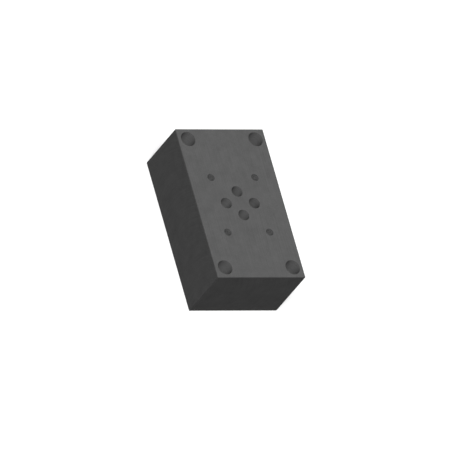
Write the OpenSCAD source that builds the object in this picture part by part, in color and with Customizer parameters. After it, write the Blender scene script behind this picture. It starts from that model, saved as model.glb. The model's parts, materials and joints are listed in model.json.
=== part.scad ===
// Subplate for an ISO 4401-03 directional valve, with four G 3/8 line ports in its underside.
// One machined block. The valve is screwed to the top face, over ports P, T, A and B, and an angled
// drilling joins each of those ports to a line port of its own. Screws through the corners hold it.
// Millimetres. The origin is the middle of the underside, +Z points out of the valve face, and +Y
// runs along the valve, from port A towards port B.

/* [Block] */
// Width of the block, across the valve
block_width = 65; // [62:0.5:100]
// Length of the block, along the valve
block_length = 110; // [90:0.5:160]
// Height of the block, from the underside to the valve face
block_height = 43; // [34:0.5:70]
// Chamfer on every outer edge
edge_chamfer = 0.3; // [0.1:0.1:0.8]

/* [Fixing holes] */
// Diameter of the four corner holes, with clearance for M8 screws
fixing_hole_d = 10; // [6:0.5:12]
// Distance from the axis of a corner hole to each of the two nearest sides
fixing_hole_inset = 7.5; // [6.5:0.5:12]

/* [Valve ports] */
// Distance between ports P and T, across the block
port_pt_span = 20.8; // [18:0.1:24]
// Distance of port A from the line through P and T
port_a_offset = 8.8; // [8:0.1:11]
// Distance of port B from the line through P and T
port_b_offset = 8.7; // [8:0.1:11]
// Diameter of the valve ports
port_d = 7.5; // [5:0.1:8]
// Depth of the straight wall of the valve ports
port_depth = 16; // [10:0.5:20]

/* [Valve screw holes] */
// Distance between the two screw holes at the port A end
screw_a_span = 31; // [26:0.25:36]
// Distance of those two holes from the line through P and T
screw_a_offset = 21.5; // [19:0.25:26]
// Distance between the two screw holes at the port B end
screw_b_span = 32.5; // [26:0.25:36]
// Distance of those two holes from the line through P and T
screw_b_offset = 19; // [18:0.25:26]
// Diameter of the screw thread
screw_thread_d = 5; // [4:1:6]
// Pitch of the screw thread
screw_pitch = 0.8; // [0.7:0.05:1]
// Depth of the straight wall of the screw holes
screw_hole_depth = 20; // [12:0.5:24]

/* [Line ports] */
// Distance between line ports P and T
line_pt_span = 36; // [33:0.5:40]
// Distance between line ports A and B
line_ab_span = 42; // [36:0.5:56]
// Diameter of the pipe thread
line_thread_d = 16.662; // [13:0.001:17]
// Pitch of the pipe thread
line_pitch = 1.337; // [0.9:0.001:1.8]
// Depth of the straight wall of the line ports
line_port_depth = 17; // [14:0.5:22]
// Diameter of the spot-faced seat round each line port
seat_d = 23; // [20:0.5:25]
// Depth of that seat below the underside
seat_depth = 0.5; // [0.2:0.1:2]

/* [Angled drillings] */
// Diameter of the drillings that join the valve ports to the line ports
gallery_d = 7; // [4:0.5:7.5]
// Height at which the axis of such a drilling crosses the axis of its line port
gallery_crossing = 6; // [4:0.5:9]

/* [Drilling practice] */
// Included angle of the drill points
drill_point_angle = 118; // [90:1:140]
// Width of the deburred edge at the mouth of a plain hole
mouth_break = 0.2; // [0.1:0.1:0.8]
// Width by which a countersink stands clear of its thread
countersink_margin = 0.15; // [0.05:0.05:0.5]

/* [Hidden] */
$fn = 96;
finish = "#5f5f5f";
// How far a cut runs past the face that it starts from
overrun = 1;
// Places in plan of each valve port and of the line port that it leads to
port_p = [port_pt_span / 2, 0];
port_a = [0, -port_a_offset];
port_b = [0, port_b_offset];
line_p = [line_pt_span / 2, 0];
line_a = [0, -line_ab_span / 2];
channels = [
    [port_p, line_p],
    [-port_p, -line_p],
    [port_a, line_a],
    [port_b, -line_a],
];
// The two pairs of valve screws
screw_pairs = [
    [screw_a_span, -screw_a_offset],
    [screw_b_span, screw_b_offset],
];
// A tapping drill is smaller than its thread by one pitch
screw_core_d = screw_thread_d - screw_pitch;
line_core_d = line_thread_d - line_pitch;
screw_mouth_d = screw_thread_d + 2 * countersink_margin;
line_mouth_d = line_thread_d + 2 * countersink_margin;
// Height at which an angled drilling reaches the axis of its valve port
gallery_top = block_height - port_depth + gallery_d / 2;

// A rectangle about the origin, with its corners cut off at 45 degrees.
module chamfered_rectangle(size) {
    intersection() {
        square(size, center = true);
        rotate(45)
            square(((size.x + size.y) / 2 - edge_chamfer) * sqrt(2), center = true);
    }
}

// A bar of that section, centred on the origin and running along Z.
module chamfered_bar(size, length) {
    linear_extrude(length, center = true)
        chamfered_rectangle(size);
}

// The block before drilling: where three bars cross, every outer edge is chamfered.
module blank() {
    translate([0, 0, block_height / 2])
        intersection() {
            chamfered_bar([block_width, block_length], block_height);
            rotate([90, 0, 0])
                chamfered_bar([block_width, block_height], block_length);
            rotate([90, 0, 90])
                chamfered_bar([block_length, block_height], block_width);
        }
}

// A blind hole down from z = 0: a 90 degree countersink, a straight wall and the drill point.
module drilled_hole(d, depth, mouth_d) {
    point = d / 2 / tan(drill_point_angle / 2);
    rotate_extrude()
        polygon([
            [0, overrun],
            [mouth_d / 2 + overrun, overrun],
            [d / 2, -(mouth_d - d) / 2],
            [d / 2, -depth],
            [0, -depth - point],
        ]);
}

// A hole from the underside to the valve face, deburred at both ends.
module through_hole(d) {
    cylinder(h = block_height, d = d);
    for (end = [0, 1])
        translate([0, 0, end * block_height])
            mirror([0, 0, end])
                translate([0, 0, -overrun])
                    cylinder(
                        h = overrun + mouth_break,
                        r1 = d / 2 + mouth_break + overrun,
                        r2 = d / 2
                    );
}

module fixing_holes() {
    reach = [block_width / 2 - fixing_hole_inset, block_length / 2 - fixing_hole_inset];
    for (x = [-1, 1], y = [-1, 1])
        translate([x * reach.x, y * reach.y, 0])
            through_hole(fixing_hole_d);
}

module screw_holes() {
    for (pair = screw_pairs, x = [-1, 1])
        translate([x * pair[0] / 2, pair[1], block_height])
            drilled_hole(screw_core_d, screw_hole_depth, screw_mouth_d);
}

// A spot-faced pipe port, upwards from z = 0.
module line_port() {
    translate([0, 0, -overrun])
        cylinder(h = overrun + seat_depth, d = seat_d);
    translate([0, 0, seat_depth])
        mirror([0, 0, 1])
            drilled_hole(line_core_d, line_port_depth - seat_depth, line_mouth_d);
}

// A straight drilling from one point to another.
module gallery(start, end) {
    run = end - start;
    translate(start)
        rotate([0, acos(run.z / norm(run)), atan2(run.y, run.x)])
            cylinder(h = norm(run), d = gallery_d);
}

// One oil way, from the valve face to the underside.
module channel(valve_xy, line_xy) {
    translate([valve_xy.x, valve_xy.y, block_height])
        drilled_hole(port_d, port_depth, port_d + 2 * mouth_break);
    translate([line_xy.x, line_xy.y, 0])
        line_port();
    gallery(
        [line_xy.x, line_xy.y, gallery_crossing],
        [valve_xy.x, valve_xy.y, gallery_top]
    );
}

module subplate_block() {
    color(finish)
        difference() {
            blank();
            fixing_holes();
            screw_holes();
            for (ends = channels)
                channel(ends[0], ends[1]);
        }
}

subplate_block();
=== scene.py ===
"""A hydraulic valve subplate: the drilled block with its threads cut, a machined and phosphated finish,
and a plain pale studio, seen from the photograph's angle through a long lens."""
import json
import math
from collections import namedtuple

import bmesh
import bpy
from mathutils import Matrix, Vector


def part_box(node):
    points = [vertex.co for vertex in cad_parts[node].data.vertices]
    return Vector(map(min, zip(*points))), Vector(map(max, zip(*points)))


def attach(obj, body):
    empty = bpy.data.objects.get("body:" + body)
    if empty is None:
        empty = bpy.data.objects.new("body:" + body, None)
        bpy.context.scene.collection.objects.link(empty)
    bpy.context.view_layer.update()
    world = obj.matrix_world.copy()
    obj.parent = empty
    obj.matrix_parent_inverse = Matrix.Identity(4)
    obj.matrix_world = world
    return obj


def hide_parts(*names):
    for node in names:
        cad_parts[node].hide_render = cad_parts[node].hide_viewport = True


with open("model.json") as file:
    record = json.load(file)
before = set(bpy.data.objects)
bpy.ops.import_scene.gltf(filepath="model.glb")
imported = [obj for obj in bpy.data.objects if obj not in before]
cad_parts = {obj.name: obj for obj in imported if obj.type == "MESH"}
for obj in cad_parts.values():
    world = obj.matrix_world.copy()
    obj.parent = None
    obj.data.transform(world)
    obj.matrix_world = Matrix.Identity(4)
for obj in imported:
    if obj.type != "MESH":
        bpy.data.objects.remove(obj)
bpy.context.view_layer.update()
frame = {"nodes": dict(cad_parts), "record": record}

MM = 0.001
X, Y, Z = range(3)
NODE = "subplate_block"
LOW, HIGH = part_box(NODE)

# Threads, in millimetres and degrees: "root" is the flat at the bottom of the groove, "steps" are per turn
SCREW_THREAD = {"diameter": 5.0, "pitch": 0.8, "flank": 30.0, "root": 0.1, "depth": 16.0, "steps": 36}
PIPE_THREAD = {"diameter": 16.662, "pitch": 1.337, "flank": 27.5, "root": 0.2, "depth": 13.0, "steps": 72}
# How far a tap's ridge starts inside the drilled wall, as a share of the pitch
TAP_OVERLAP = 0.15
# The share of its height that the ridge starts with, and the turns it runs on past the countersink's foot
RIDGE_START = 0.05
RIDGE_RUN_ON = 2

# Points closer together than this are one point
WELD = 0.005 * MM
# Faces that meet at more than this angle have a sharp edge between them
SHARP_ANGLE = math.radians(30)

# How surfaces are told apart: the part of a normal along an axis that makes it flat or leaning,
# and the distance from the sides of the block within which each kind lies
FLAT = 0.99
LEANING = 0.3
ON_PLANE = 0.02 * MM
EDGE_ZONE = 0.35 * MM
SEAT_ZONE = 1.0 * MM
# The same for a tapped hole: the room round its thread, the turns past its end and its countersink's height
THREAD_MARGIN = 0.2 * MM
THREAD_RUN_OUT = 2
COUNTERSINK_ZONE = 1.0 * MM

# The finish: the mean grey of each kind of surface, its gloss, and the shares by which detail moves the grey.
# Only the face grey is the coat's own: the edge and mouth greys are darkened with painted shade, the thread
# and bore greys lightened with painted light
FACE_GREY = 0.105
# Painted shade: the edge chamfers are darker than the face, so the lit chamfers don't show as bright lines
EDGE_GREY_PAINTED_SHADE = 0.085
# Painted shade: the countersinks and mouth breaks are darker than the face, so the holes read darker and
# wider at their rims
MOUTH_GREY_PAINTED_SHADE = 0.075
# Painted light: the thread is a little lighter than the face, to make up for the shade inside the tapped
# holes
THREAD_GREY_PAINTED_LIGHT = 0.115
# Painted light: the drilled walls are much lighter than the face, to make up for the shade inside the holes
BORE_GREY_PAINTED_LIGHT = 0.168
ROUGHNESS = 0.7
SPECULAR = 0.01
MOTTLE = 0.10
MARKS = 0.12
CRYSTALS = 0.10
# Its relief, and the shares of that relief that are tool marks and crystals
BUMP_DEPTH = 0.03 * MM
BUMP_STRENGTH = 0.35
MARK_RELIEF = 0.7
CRYSTAL_RELIEF = 0.3
# How fine its detail is, in repeats to a millimetre, along X, Y and Z where there are three
MOTTLE_SCALE = 0.12
CRYSTAL_SCALE = 2.2
GROUND_SCALE = (2.5, 0.02, 1.0)
BORED_SCALE = (0.05, 0.05, 3.0)
FILED_SCALE = 0.5
SEAT_SCALE = 3.0
MILLED_SCALE = 0.9
# How fast the milled marks change along their arcs, as a share of the change across them
MILLED_STRETCH = 0.02
# Radius of the face mill that cut the four sides, in millimetres
MILL_RADIUS = 40.0
# Noise values at which its effect is least and greatest
NOISE_LOW = 0.25
NOISE_HIGH = 0.75

# The photograph: its frame, its scale and where the middle of the valve face lies in it
FRAME_PIXELS = 452
PIXELS_PER_MM = 1.559
FACE_CENTRE_PIXEL = (240.4, 203.1)
VIEW_TURN = math.radians(30)
LENS_MM = 1500
SENSOR_MM = 36
# How far the camera sees, as a multiple of its own distance
CLIP_REACH = 4

# The studio: a key light above the camera, a low lamp beside the block, a fill behind it and a dim sky.
# "from" is the direction that a lamp shines from
KEY = {"from": (-0.3335, -0.289, 0.8974), "strength": 3.146, "spread": math.radians(25)}
SIDE = {"from": (-1.0, 0.1, 0.05), "strength": 0.33, "spread": math.radians(25)}
FILL = {"from": (0.75, 0.55, 0.35), "strength": 1.3, "spread": math.radians(60)}
SKY_STRENGTH = 0.04
# The floor in metres, its grey, the glow that makes it look white, and the grey by which it lights the block
FLOOR_SIZE = 6.0
FLOOR_GAP = 0.05 * MM
FLOOR_GREY = 0.8
FLOOR_GLOW = 0.33
FLOOR_BOUNCE = 0.03

# A tapped hole, with its axis pointing out of its mouth
TappedHole = namedtuple("TappedHole", "spot axis core_radius thread")


def tapped_holes():
    """The tapped holes, from the mounts that state them."""
    for mount in frame["record"]["mounts"]:
        centre = Vector(mount["pos_m"])
        axis = Vector(mount["axis"])
        dims = mount["dims"]
        if mount["name"].startswith("valve_screws"):
            for side in (-0.5, 0.5):
                spot = centre + Vector((side * dims["spacing_x_mm"] * MM, 0, 0))
                yield TappedHole(spot, axis, dims["hole_r_mm"], SCREW_THREAD)
        if mount["kind"] == "threaded_hole":
            yield TappedHole(centre, axis, dims["r_mm"], PIPE_THREAD)


TAPPED_HOLES = list(tapped_holes())


def add_thread_ridge(mesh, hole):
    """Add the closed helical ridge that a tap cuts with. It fades in at the thread's end."""
    thread = hole.thread
    turn_to_axis = hole.axis.to_track_quat("Z", "Y").to_matrix().to_4x4()
    place = Matrix.Translation(hole.spot) @ turn_to_axis @ Matrix.Scale(MM, 4)
    outside = thread["diameter"] / 2
    inside = hole.core_radius - TAP_OVERLAP * thread["pitch"]
    half_root = thread["root"] / 2
    half_base = half_root + (outside - inside) * math.tan(math.radians(thread["flank"]))
    turns = thread["depth"] / thread["pitch"] + RIDGE_RUN_ON
    rings = []
    for step in range(round(turns * thread["steps"]) + 1):
        turn = step / thread["steps"]
        crest = inside + (outside - inside) * min(1.0, RIDGE_START + turn)
        height = turn * thread["pitch"] - thread["depth"]
        angle = math.tau * turn
        corners = ((inside, -half_base), (crest, -half_root), (crest, half_root), (inside, half_base))
        rings.append([
            mesh.verts.new(place @ Vector((r * math.cos(angle), r * math.sin(angle), height + z)))
            for r, z in corners
        ])
    for ring, following in zip(rings, rings[1:]):
        for i in range(len(ring)):
            j = (i + 1) % len(ring)
            mesh.faces.new((ring[i], ring[j], following[j], following[i]))
    mesh.faces.new(rings[0][::-1])
    mesh.faces.new(rings[-1])


def new_object(name, mesh):
    """A new object in the scene from a bmesh."""
    data = bpy.data.meshes.new(name)
    mesh.to_mesh(data)
    mesh.free()
    made = bpy.data.objects.new(name, data)
    bpy.context.scene.collection.objects.link(made)
    return made


def cut_threads(block):
    """Cut a helical groove into each tapped hole of the block."""
    ridges = bmesh.new()
    for hole in TAPPED_HOLES:
        add_thread_ridge(ridges, hole)
    bmesh.ops.recalc_face_normals(ridges, faces=ridges.faces)
    taps = new_object("taps", ridges)
    cut = block.modifiers.new("threads", "BOOLEAN")
    cut.operation = "DIFFERENCE"
    cut.solver = "EXACT"
    cut.object = taps
    bpy.context.view_layer.update()
    tapped = bmesh.new()
    tapped.from_object(block, bpy.context.evaluated_depsgraph_get())
    bmesh.ops.dissolve_degenerate(tapped, edges=tapped.edges, dist=WELD)
    block.modifiers.clear()
    tapped.to_mesh(block.data)
    tapped.free()
    bpy.data.objects.remove(taps)


def make_block():
    """The CAD block with its threads cut, shaded anew without the normals that came with it."""
    solid = bmesh.new()
    solid.from_mesh(frame["nodes"][NODE].data)
    bmesh.ops.remove_doubles(solid, verts=solid.verts, dist=WELD)
    block = new_object("subplate", solid)
    block.data.attributes.remove(block.data.attributes["custom_normal"])
    cut_threads(block)
    block.data.shade_smooth()
    block.data.set_sharp_from_angle(angle=SHARP_ANGLE)
    return block


class Graph:
    """The node tree of a material or a world, with short calls to add and link its nodes."""

    def __init__(self, owner):
        owner.use_nodes = True
        self.tree = owner.node_tree
        self.tree.nodes.clear()

    def add(self, kind, inputs=None, **settings):
        """A new node with its settings, and with each input linked or set."""
        node = self.tree.nodes.new("ShaderNode" + kind)
        for key, value in settings.items():
            setattr(node, key, value)
        for key, value in (inputs or {}).items():
            if isinstance(value, bpy.types.NodeSocket):
                self.tree.links.new(value, node.inputs[key])
            else:
                node.inputs[key].default_value = value
        return node

    def math(self, operation, a, b=0.0):
        return self.add("Math", {0: a, 1: b}, operation=operation).outputs[0]

    def noise(self, vector, scale=1.0, detail=4.0, roughness=0.7):
        inputs = {"Vector": vector, "Scale": scale, "Detail": detail, "Roughness": roughness}
        return self.add("TexNoise", inputs).outputs["Fac"]

    def millimetres(self):
        """The place on the object, in millimetres."""
        place = self.add("TexCoord").outputs["Object"]
        return self.add("VectorMath", {0: place, "Scale": 1 / MM}, operation="SCALE").outputs[0]

    def stretched(self, vector, scale):
        return self.add("VectorMath", {0: vector, 1: scale}, operation="MULTIPLY").outputs[0]

    def varied(self, value, amount):
        """A noise value as a factor about 1."""
        inputs = {
            "Value": value,
            "From Min": NOISE_LOW,
            "From Max": NOISE_HIGH,
            "To Min": 1 - amount,
            "To Max": 1 + amount,
        }
        return self.add("MapRange", inputs).outputs["Result"]

    def seen_directly(self):
        """1 for rays that show the background itself, 0 for those that only carry its light."""
        path = self.add("LightPath").outputs
        seen = self.math("MAXIMUM", path["Is Camera Ray"], path["Is Glossy Ray"])
        return self.math("MAXIMUM", seen, path["Is Transmission Ray"])


def ground_marks(graph, place):
    """Fine lines along the length, as a surface grinder leaves them."""
    return graph.noise(graph.stretched(place, GROUND_SCALE))


def milled_marks(along):
    """Arcs of a face mill that ran along one axis."""
    middle = (LOW.z + HIGH.z) / 2 / MM

    def marks(graph, place):
        parts = graph.add("SeparateXYZ", {0: place}).outputs
        across = graph.math("SUBTRACT", parts["Z"], middle)
        square = graph.math("SUBTRACT", MILL_RADIUS ** 2, graph.math("MULTIPLY", across, across))
        arc = graph.math("SUBTRACT", parts[along], graph.math("SQRT", square))
        slow = graph.math("MULTIPLY", across, MILLED_STRETCH)
        line = graph.add("CombineXYZ", {"X": arc, "Y": slow}).outputs[0]
        return graph.noise(line, scale=MILLED_SCALE)

    return marks


def bored_marks(graph, place):
    """Rings down a drilled wall."""
    return graph.noise(graph.stretched(place, BORED_SCALE))


def filed_marks(graph, place):
    """The soft unevenness of an edge that was broken by hand."""
    return graph.noise(place, scale=FILED_SCALE, detail=2.0)


def seat_marks(graph, place):
    """Rings round the nearest pipe port, as its spot facer left them."""
    flat = graph.stretched(place, (1.0, 1.0, 0.0))
    # No place on the block is farther from a port than this
    nearest = (HIGH - LOW).length / MM
    for hole in TAPPED_HOLES:
        if hole.thread is PIPE_THREAD:
            centre = (hole.spot.x / MM, hole.spot.y / MM, 0.0)
            reach = graph.add("VectorMath", {0: flat, 1: centre}, operation="DISTANCE").outputs["Value"]
            nearest = graph.math("MINIMUM", reach, nearest)
    return graph.noise(graph.add("CombineXYZ", {"X": nearest}).outputs[0], scale=SEAT_SCALE)


def phosphated(name, marks, grey):
    """Matt dark phosphate on a machined surface: mottled, finely crystalline, with the tool's marks."""
    material = bpy.data.materials.new(name)
    graph = Graph(material)
    place = graph.millimetres()
    lines = marks(graph, place)
    mottle = graph.noise(place, scale=MOTTLE_SCALE)
    crystals = graph.noise(place, scale=CRYSTAL_SCALE)
    tone = graph.math("MULTIPLY", graph.varied(mottle, MOTTLE), graph.varied(lines, MARKS))
    tone = graph.math("MULTIPLY", tone, graph.varied(crystals, CRYSTALS))
    line_height = graph.math("MULTIPLY", lines, MARK_RELIEF)
    crystal_height = graph.math("MULTIPLY", crystals, CRYSTAL_RELIEF)
    height = graph.math("ADD", line_height, crystal_height)
    bump = graph.add("Bump", {"Height": height, "Strength": BUMP_STRENGTH, "Distance": BUMP_DEPTH})
    shader = graph.add("BsdfPrincipled", {
        "Base Color": graph.math("MULTIPLY", tone, grey),
        "Roughness": graph.math("MULTIPLY", graph.varied(lines, MARKS), ROUGHNESS),
        "Specular IOR Level": SPECULAR,
        "Normal": bump.outputs[0],
    })
    graph.add("OutputMaterial", {"Surface": shader.outputs[0]})
    return material


def tapped_kind(point):
    """Whether a point lies on a tapped hole's countersink or in its thread. A mount is where the two meet."""
    for hole in TAPPED_HOLES:
        along = (point - hole.spot).dot(hole.axis)
        out = (point - hole.spot - along * hole.axis).length
        room = hole.thread["diameter"] / 2 * MM + THREAD_MARGIN
        run_out = (hole.thread["depth"] + THREAD_RUN_OUT * hole.thread["pitch"]) * MM
        if out < room and -run_out < along < COUNTERSINK_ZONE:
            return "mouth" if along > 0 else "thread"
    return None


def surface_kind(polygon):
    """Which machined surface a polygon of the block belongs to."""
    lean = [abs(part) for part in polygon.normal]
    depth = [min(polygon.center[i] - LOW[i], HIGH[i] - polygon.center[i]) for i in (X, Y, Z)]
    for axis, kind in ((Z, "face"), (X, "side"), (Y, "end")):
        if lean[axis] > FLAT and depth[axis] < ON_PLANE:
            return kind
    # An edge lies near two sides at once
    if sum(d < EDGE_ZONE for d in depth) >= 2:
        return "edge"
    if lean[Z] > FLAT and depth[Z] < SEAT_ZONE:
        return "seat"
    tapped = tapped_kind(polygon.center)
    if tapped:
        return tapped
    if lean[Z] > LEANING and depth[Z] < EDGE_ZONE:
        return "mouth"
    return "bore"


def dress(block):
    """Give each machined surface its own finish."""
    finishes = {
        "face": phosphated("ground_face", ground_marks, FACE_GREY),
        "side": phosphated("milled_side", milled_marks("Y"), FACE_GREY),
        "end": phosphated("milled_end", milled_marks("X"), FACE_GREY),
        "edge": phosphated("broken_edge_painted_shade", filed_marks, EDGE_GREY_PAINTED_SHADE),
        "seat": phosphated("spot_faced_seat", seat_marks, FACE_GREY),
        "mouth": phosphated("hole_mouth_painted_shade", filed_marks, MOUTH_GREY_PAINTED_SHADE),
        "thread": phosphated("cut_thread", bored_marks, THREAD_GREY_PAINTED_LIGHT),
        "bore": phosphated("drilled_wall_painted_light", bored_marks, BORE_GREY_PAINTED_LIGHT),
    }
    order = list(finishes)
    block.data.materials.clear()
    for finish in finishes.values():
        block.data.materials.append(finish)
    for polygon in block.data.polygons:
        polygon.material_index = order.index(surface_kind(polygon))


def make_floor():
    """A pale floor that takes the shadow, and sends little light back up."""
    mesh = bmesh.new()
    bmesh.ops.create_grid(mesh, x_segments=1, y_segments=1, size=FLOOR_SIZE / 2)
    floor = new_object("floor", mesh)
    floor.location.z = LOW.z - FLOOR_GAP
    material = bpy.data.materials.new("pale_floor")
    graph = Graph(material)
    pale = graph.add("BsdfDiffuse", {"Color": (FLOOR_GREY, FLOOR_GREY, FLOOR_GREY, 1)})
    glow = graph.add("Emission", {"Strength": FLOOR_GLOW})
    shown = graph.add("AddShader", {0: pale.outputs[0], 1: glow.outputs[0]})
    dim = graph.add("BsdfDiffuse", {"Color": (FLOOR_BOUNCE, FLOOR_BOUNCE, FLOOR_BOUNCE, 1)})
    mixed = graph.add("MixShader", {0: graph.seen_directly(), 1: dim.outputs[0], 2: shown.outputs[0]})
    graph.add("OutputMaterial", {"Surface": mixed.outputs[0]})
    floor.data.materials.append(material)


def make_lamp(name, lamp):
    """A soft lamp that is far away."""
    data = bpy.data.lights.new(name, "SUN")
    data.energy = lamp["strength"]
    data.angle = lamp["spread"]
    made = bpy.data.objects.new(name, data)
    made.rotation_euler = Vector(lamp["from"]).to_track_quat("Z", "Y").to_euler()
    bpy.context.scene.collection.objects.link(made)


def make_sky():
    """A dim even sky that looks white."""
    world = bpy.data.worlds.new("studio")
    bpy.context.scene.world = world
    graph = Graph(world)
    inputs = {"Value": graph.seen_directly(), "To Min": SKY_STRENGTH, "To Max": 1.0}
    strength = graph.add("MapRange", inputs).outputs["Result"]
    sky = graph.add("Background", {"Color": (1, 1, 1, 1), "Strength": strength})
    graph.add("OutputWorld", {"Surface": sky.outputs[0]})


def make_camera():
    """The photograph's view: turned 30 degrees twice from straight above, with no visible perspective."""
    s, c = math.sin(VIEW_TURN), math.cos(VIEW_TURN)
    right = Vector((c, -s * s, s * c))
    up = Vector((0, c, s))
    back = right.cross(up)
    metres_per_pixel = MM / PIXELS_PER_MM
    distance = FRAME_PIXELS * metres_per_pixel * LENS_MM / SENSOR_MM
    face_centre = Vector((0, 0, HIGH.z))
    to_right = (FACE_CENTRE_PIXEL[0] - FRAME_PIXELS / 2) * metres_per_pixel
    to_top = (FRAME_PIXELS / 2 - FACE_CENTRE_PIXEL[1]) * metres_per_pixel
    data = bpy.data.cameras.new("camera")
    data.lens = LENS_MM
    data.sensor_width = SENSOR_MM
    data.clip_end = CLIP_REACH * distance
    camera = bpy.data.objects.new("camera", data)
    turn = Matrix((right, up, back)).transposed().to_4x4()
    place = face_centre - right * to_right - up * to_top + back * distance
    camera.matrix_world = Matrix.Translation(place) @ turn
    bpy.context.scene.collection.objects.link(camera)
    bpy.context.scene.camera = camera


make_camera()
make_lamp("key", KEY)
make_lamp("side", SIDE)
make_lamp("fill", FILL)
make_sky()
make_floor()
block = make_block()
dress(block)
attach(block, "root")
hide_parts(NODE)

bpy.context.scene.view_settings.view_transform = "Standard"
